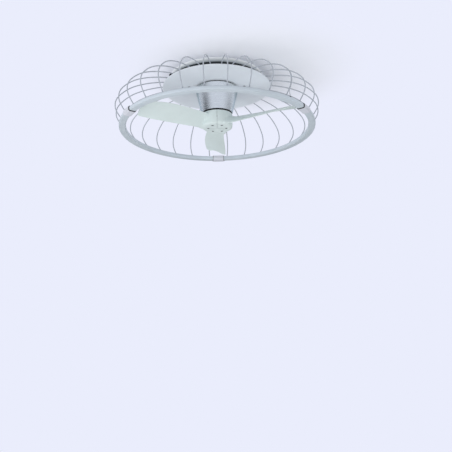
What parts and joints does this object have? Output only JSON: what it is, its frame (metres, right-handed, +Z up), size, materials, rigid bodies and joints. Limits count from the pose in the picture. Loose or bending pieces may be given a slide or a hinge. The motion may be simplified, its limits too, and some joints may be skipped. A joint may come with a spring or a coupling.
{
  "type": "ceiling fan",
  "caption": "Flush ceiling fan: pitched blades turn below a conical motor housing, inside a round cage of bent wires that carries a ring light.",
  "frame": {"origin": "middle of the ceiling bracket, on the ceiling plane and on the fan's axis", "axes": "+Z up into the ceiling, along the fan's axis; +Y away from the side that the picture shows; +X to the right of it"},
  "size_m": [0.6534, 0.6498, 0.1805],
  "materials": {
    "bracket_steel": "zinc plated",
    "bearing_steel": "ground",
    "canopy_white": "satin",
    "black_plastic": "matte",
    "black_rubber": "matte",
    "disc_white": "satin",
    "bright_screws": "satin",
    "black_screws": "black zinc",
    "module_white": "matte",
    "wire_grey": "satin",
    "channel_grey": "satin",
    "opal": "opal, satin",
    "diode_strip": "matte",
    "sleeve_grey": "satin",
    "cone_satin": "satin metallic",
    "core_steel": "laminated",
    "copper": "enamelled copper",
    "magnet": "plain",
    "rotor_dark": "satin",
    "blade_white": "satin"
  },
  "bodies": {
    "frame": {"ceiling_bracket": "bracket_steel", "pan_nuts": "bracket_steel", "canopy_pan": "canopy_white", "cable_bush": "black_rubber", "spacer_ring": "black_plastic", "cover_posts": "bracket_steel", "cover_disc": "disc_white", "cover_screws": "black_screws", "motor_driver": "module_white", "light_driver": "module_white", "terminal_block": "module_white", "remote_receiver": "module_white", "module_screws": "bracket_steel", "cage_hoop": "wire_grey", "cage_wires_left": "wire_grey", "cage_wires_front": "wire_grey", "cage_wires_right": "wire_grey", "hoop_clips": "black_plastic", "clip_bolts": "bracket_steel", "rim_screws": "canopy_white", "channel_left": "channel_grey", "channel_front": "channel_grey", "channel_right": "channel_grey", "diffuser_left": "opal", "diffuser_front": "opal", "diffuser_right": "opal", "diodes_left": "diode_strip", "diodes_front": "diode_strip", "diodes_right": "diode_strip", "sleeve_rear": "sleeve_grey", "sleeve_front_left": "sleeve_grey", "sleeve_front_right": "sleeve_grey", "sleeve_screws": "bright_screws", "ring_seals": "black_rubber", "ring_grommet": "black_rubber", "light_lead": "module_white", "mount_plate": "bracket_steel", "mount_screws": "bracket_steel", "motor_neck": "black_plastic", "motor_cone": "cone_satin", "cone_screws": "bracket_steel", "motor_shaft": "bearing_steel", "shaft_screws": "bracket_steel", "stator_core": "core_steel", "stator_windings": "copper", "bearing_inner_rings": "bearing_steel"},
    "rotor": {"bearing_balls": "bearing_steel", "bearing_outer_rings": "bearing_steel", "rotor_cup": "black_plastic", "rotor_lid": "rotor_dark", "lid_screws": "bracket_steel", "rotor_magnets": "magnet", "hub_carrier": "bracket_steel", "carrier_screws": "bracket_steel", "blade_rear": "blade_white", "blade_front_left": "blade_white", "blade_front_right": "blade_white", "blade_screws": "black_screws"}
  },
  "joints": [
    {"name": "fan_spin", "type": "hinge", "parent": "frame", "child": "rotor", "pos_m": [0, 0, -0.13], "axis": [0, 0, 1], "continuous": true}
  ]
}
